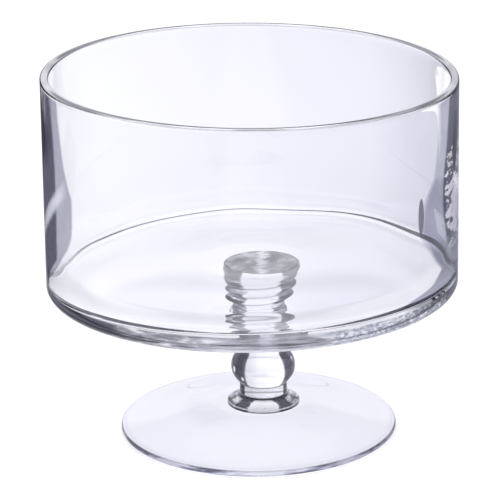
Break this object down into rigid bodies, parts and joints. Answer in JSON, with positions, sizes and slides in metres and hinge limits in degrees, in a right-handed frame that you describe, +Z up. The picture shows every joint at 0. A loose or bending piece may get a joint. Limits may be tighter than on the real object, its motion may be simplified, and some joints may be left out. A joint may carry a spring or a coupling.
{
  "type": "footed glass bowl",
  "caption": "Clear glass open bowl with straight round walls on a short stem with rings and a ball knop, flared collar and round foot; holds and shows sweets, fruit or layered desserts.",
  "frame": {"origin": "on the table, straight below the centre of the bowl's rim", "axes": "+Z up along the bowl's axis; +X to the right in the picture, the side on which the stem stands off that axis; -Y towards the viewer"},
  "size_m": [0.216, 0.216, 0.1953],
  "materials": {
    "bowl_glass": "clear, smooth",
    "neck_glass": "clear, hand-worked rings",
    "knop_glass": "clear, smooth",
    "collar_glass": "clear, smooth",
    "foot_glass": "clear, faint ripples"
  },
  "bodies": {
    "root": {"bowl": "bowl_glass", "ringed_neck": "neck_glass", "ball_knop": "knop_glass", "foot_collar": "collar_glass", "foot": "foot_glass"}
  },
  "joints": []
}
